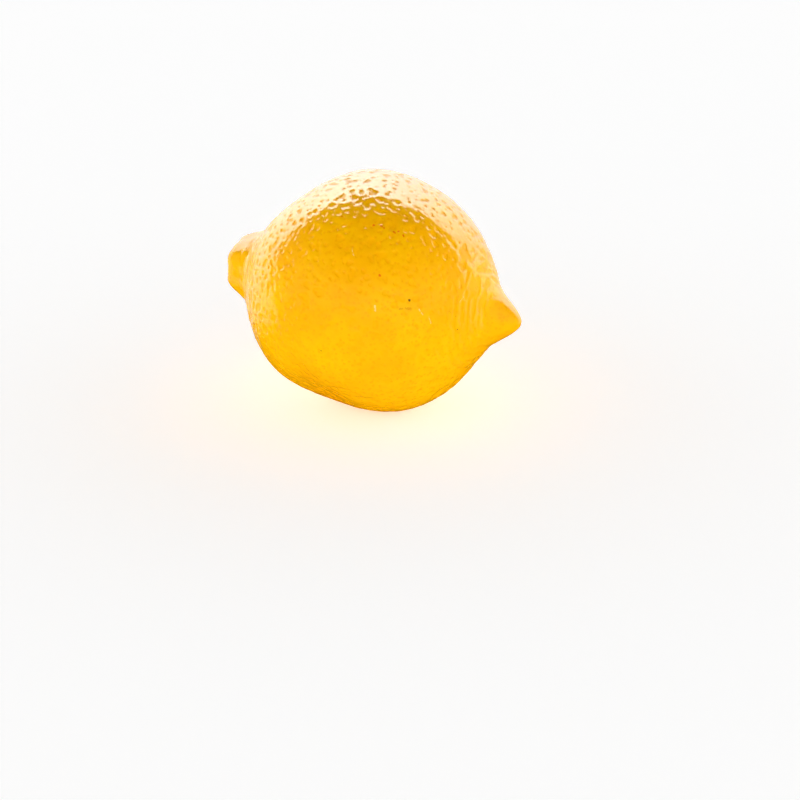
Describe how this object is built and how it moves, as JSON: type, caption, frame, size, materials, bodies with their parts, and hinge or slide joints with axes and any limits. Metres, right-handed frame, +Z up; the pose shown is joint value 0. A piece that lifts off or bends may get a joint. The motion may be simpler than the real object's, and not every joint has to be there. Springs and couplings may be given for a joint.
{
  "type": "lemon",
  "caption": "Whole ripe lemon lying on its side, with a blunt nipple at one end and a short ribbed neck holding a dried stem button at the other.",
  "frame": {"origin": "under the middle of the whole lemon, on the surface that it lies on", "axes": "+X along the fruit from the stem end to the nipple, +Z up, +Y to the far side when the nipple is at the right"},
  "size_m": [0.0784, 0.0612, 0.0611],
  "materials": {
    "lemon_peel": "waxy pitted citrus peel, semi-gloss, saturated warm yellow",
    "dried_button": "dry, matt, brown and fibrous, with a pale cut end"
  },
  "bodies": {
    "root": {"fruit": "lemon_peel", "button": "dried_button"}
  },
  "joints": []
}
